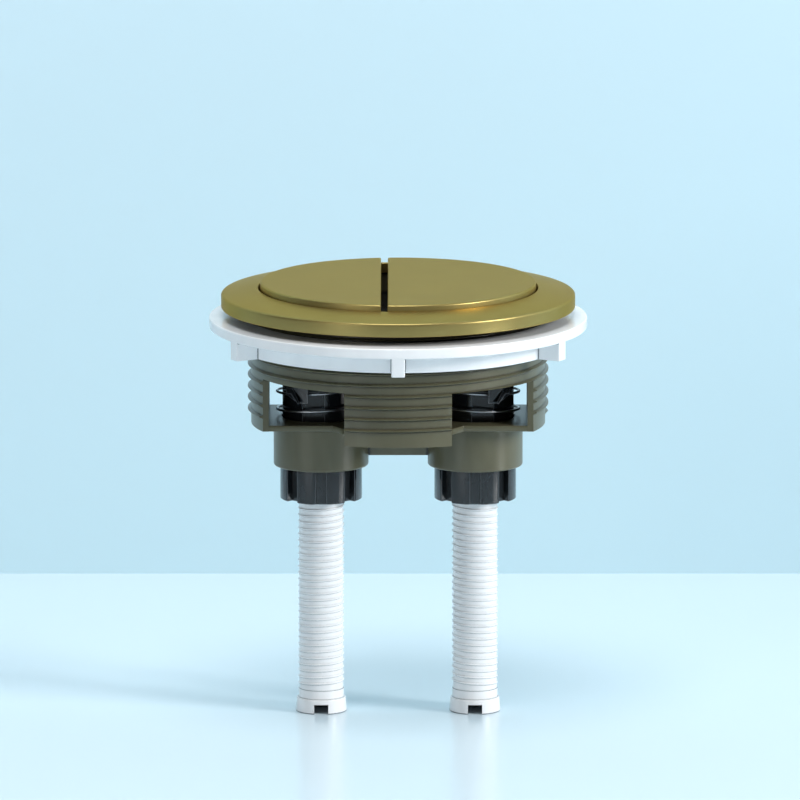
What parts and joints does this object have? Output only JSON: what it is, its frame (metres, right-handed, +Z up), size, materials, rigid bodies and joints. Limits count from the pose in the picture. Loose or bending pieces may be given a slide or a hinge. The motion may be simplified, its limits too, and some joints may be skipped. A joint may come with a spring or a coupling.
{
  "type": "dual flush push button",
  "caption": "Round dual push button for a cistern lid: split button in a coned bezel, threaded spigot with lock nut, two sprung plungers with threaded push rods.",
  "frame": {"origin": "on the plane of the two rod feet, under the axis of the round head", "axes": "+Z up along the head's axis, +X from the small button to the large one, -Y to the front of the picture"},
  "size_m": [0.0728, 0.0728, 0.0843],
  "materials": {
    "olive_gold": "satin metallic coating on moulded plastic",
    "white_plastic": "smooth moulded white plastic",
    "olive_plastic": "moulded olive grey plastic",
    "black_plastic": "smooth moulded black plastic",
    "spring_steel": "drawn steel wire",
    "black_rubber": "matt seal rubber"
  },
  "bodies": {
    "head": {"threaded_spigot": "olive_plastic", "bezel": "olive_gold", "bezel_gasket": "black_rubber", "guide_plate": "black_plastic", "small_spring": "spring_steel", "large_spring": "spring_steel"},
    "nut": {"lock_nut": "white_plastic"},
    "small_button": {"small_button_cap": "olive_gold", "small_carrier": "black_plastic", "small_retainer": "black_plastic", "small_plunger": "black_plastic"},
    "small_collar": {"small_collar": "black_plastic"},
    "small_rod": {"small_rod": "white_plastic"},
    "large_button": {"large_button_cap": "olive_gold", "large_carrier": "black_plastic", "large_retainer": "black_plastic", "large_plunger": "black_plastic"},
    "large_collar": {"large_collar": "black_plastic"},
    "large_rod": {"large_rod": "white_plastic"}
  },
  "joints": [
    {"name": "nut_run", "type": "slide", "parent": "head", "child": "nut", "axis": [0, 0, 1], "range_m": [-0.012, 0.0018]},
    {"name": "small_press", "type": "slide", "parent": "head", "child": "small_button", "axis": [0, 0, -1], "range_m": [0, 0.0038], "stiffness_N_per_m": 500, "springref_m": -0.003, "deforming": ["small_spring"]},
    {"name": "small_collar_turn", "type": "hinge", "parent": "small_button", "child": "small_collar", "pos_m": [-0.01487, 0, 0.045], "axis": [0, 0, 1], "range_deg": [-3602, 4322]},
    {"name": "small_rod_feed", "type": "slide", "parent": "small_button", "child": "small_rod", "axis": [0, 0, 1], "range_m": [-0.01524, 0.0127]},
    {"name": "large_press", "type": "slide", "parent": "head", "child": "large_button", "axis": [0, 0, -1], "range_m": [0, 0.0038], "stiffness_N_per_m": 500, "springref_m": -0.003, "deforming": ["large_spring"]},
    {"name": "large_collar_turn", "type": "hinge", "parent": "large_button", "child": "large_collar", "pos_m": [0.01487, 0, 0.045], "axis": [0, 0, 1], "range_deg": [-4322, 3602]},
    {"name": "large_rod_feed", "type": "slide", "parent": "large_button", "child": "large_rod", "axis": [0, 0, 1], "range_m": [-0.01524, 0.0127]}
  ],
  "couplings": [
    {"joint": "small_collar_turn", "follows": "small_rod_feed", "rad_per_m": -4947.4},
    {"joint": "large_collar_turn", "follows": "large_rod_feed", "rad_per_m": 4947.4}
  ]
}
